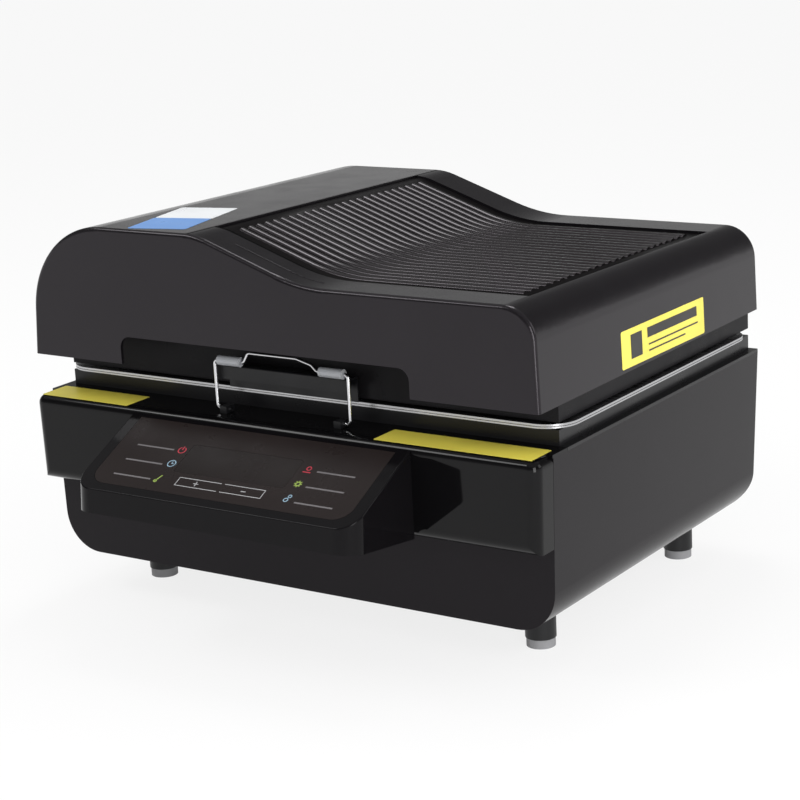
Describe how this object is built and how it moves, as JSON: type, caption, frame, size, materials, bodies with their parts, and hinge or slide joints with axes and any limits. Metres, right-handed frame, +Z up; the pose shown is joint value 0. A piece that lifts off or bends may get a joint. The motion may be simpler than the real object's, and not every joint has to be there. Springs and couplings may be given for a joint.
{
  "type": "3d vacuum sublimation machine",
  "caption": "Bench-top vacuum sublimation oven: wave-topped heater lid and silicone membrane frame hinge up over a vacuum bed, with a sloping keypad panel and a wire bail latch in front.",
  "frame": {"origin": "on the bench, under the centre of the machine's bounding box", "axes": "+X to the user's right, +Y away from the user to the hinges, +Z up; the keypad panel and the latch face -Y"},
  "size_m": [0.59, 0.549, 0.3919],
  "materials": {
    "casing": "satin dark grey",
    "fascia": "mirror gloss black",
    "panel_frame": "gloss black",
    "overlay": "satin brownish black",
    "window": "smoked",
    "inlay": "gloss brownish black",
    "deck": "fine satin",
    "rim": "satin black enamel",
    "frame_metal": "brushed",
    "catch": "satin black",
    "silicone": "matte translucent",
    "seal": "matte",
    "bed": "brushed",
    "heat_shield": "folded bright sheet",
    "mirror_sheet": "polished",
    "blanket": "felted",
    "quartz": "clear",
    "ceramic": "glazed ceramic",
    "wire": "bright wire",
    "sleeve": "light grey",
    "hinge": "satin",
    "foot": "matte black",
    "foot_rubber": "matte light grey",
    "hose": "translucent hose",
    "pump": "satin grey",
    "bracket": "zinc plated",
    "board": "green laminate",
    "fan": "matte black",
    "inlet": "matte black",
    "rocker": "gloss black"
  },
  "bodies": {
    "base": {"lower_tub": "casing", "top_deck": "rim", "front_fascia": "fascia", "panel_housing": "panel_frame", "keypad_overlay": "overlay", "display_window": "window", "control_board": "board", "bed_tray": "bed", "perforated_plate": "bed", "plate_supports": "bracket", "bed_seal": "seal", "hinge_base_leaves": "hinge", "hinge_pins": "hinge", "latch_brackets": "catch", "feet": "foot", "foot_pads": "foot_rubber", "suction_fitting": "bracket", "vacuum_hose": "hose", "vacuum_pump": "pump", "pump_bracket": "bracket", "power_board": "board", "cooling_fan": "fan", "mains_inlet": "inlet", "switch_frame": "inlet"},
    "fan": {"fan_rotor": "fan"},
    "rocker": {"power_rocker": "rocker"},
    "latch_bail": {"bail_wire": "wire", "bail_sleeves": "sleeve"},
    "membrane_frame": {"frame_lower": "frame_metal", "silicone_membrane": "silicone", "frame_upper": "frame_metal", "catch_plate": "catch", "hinge_frame_leaves": "hinge"},
    "lid": {"lid_shell": "casing", "ribbed_inlay": "inlay", "lid_rim": "rim", "lid_seal": "seal", "heat_shield": "heat_shield", "insulation_blanket": "blanket", "reflector": "mirror_sheet", "heater_tubes": "quartz", "heater_caps": "ceramic", "heater_rail_left": "bracket", "heater_rail_right": "bracket", "heater_guard": "wire", "temperature_probe": "hinge", "hinge_lid_leaves": "hinge"}
  },
  "joints": [
    {"name": "lid_hinge", "type": "hinge", "parent": "base", "child": "lid", "pos_m": [0, 0.2715, 0.2335], "axis": [-1, 0, 0], "range_deg": [0, 75]},
    {"name": "membrane_frame_hinge", "type": "hinge", "parent": "base", "child": "membrane_frame", "pos_m": [0, 0.2715, 0.2335], "axis": [-1, 0, 0], "range_deg": [0, 45]},
    {"name": "latch_bail_swing", "type": "hinge", "parent": "base", "child": "latch_bail", "pos_m": [0, -0.1475, 0.2182], "axis": [1, 0, 0], "range_deg": [-10, 90]},
    {"name": "power_rocker_tilt", "type": "hinge", "parent": "base", "child": "rocker", "pos_m": [-0.135, 0.266, 0.12], "axis": [1, 0, 0], "range_deg": [-18, 0]},
    {"name": "fan_spin", "type": "hinge", "parent": "base", "child": "fan", "pos_m": [0.205, 0.256, 0.14], "axis": [0, 1, 0], "continuous": true}
  ],
  "couplings": [
    {"joint": "membrane_frame_hinge", "follows": "lid_hinge", "ratio": 0.6}
  ]
}
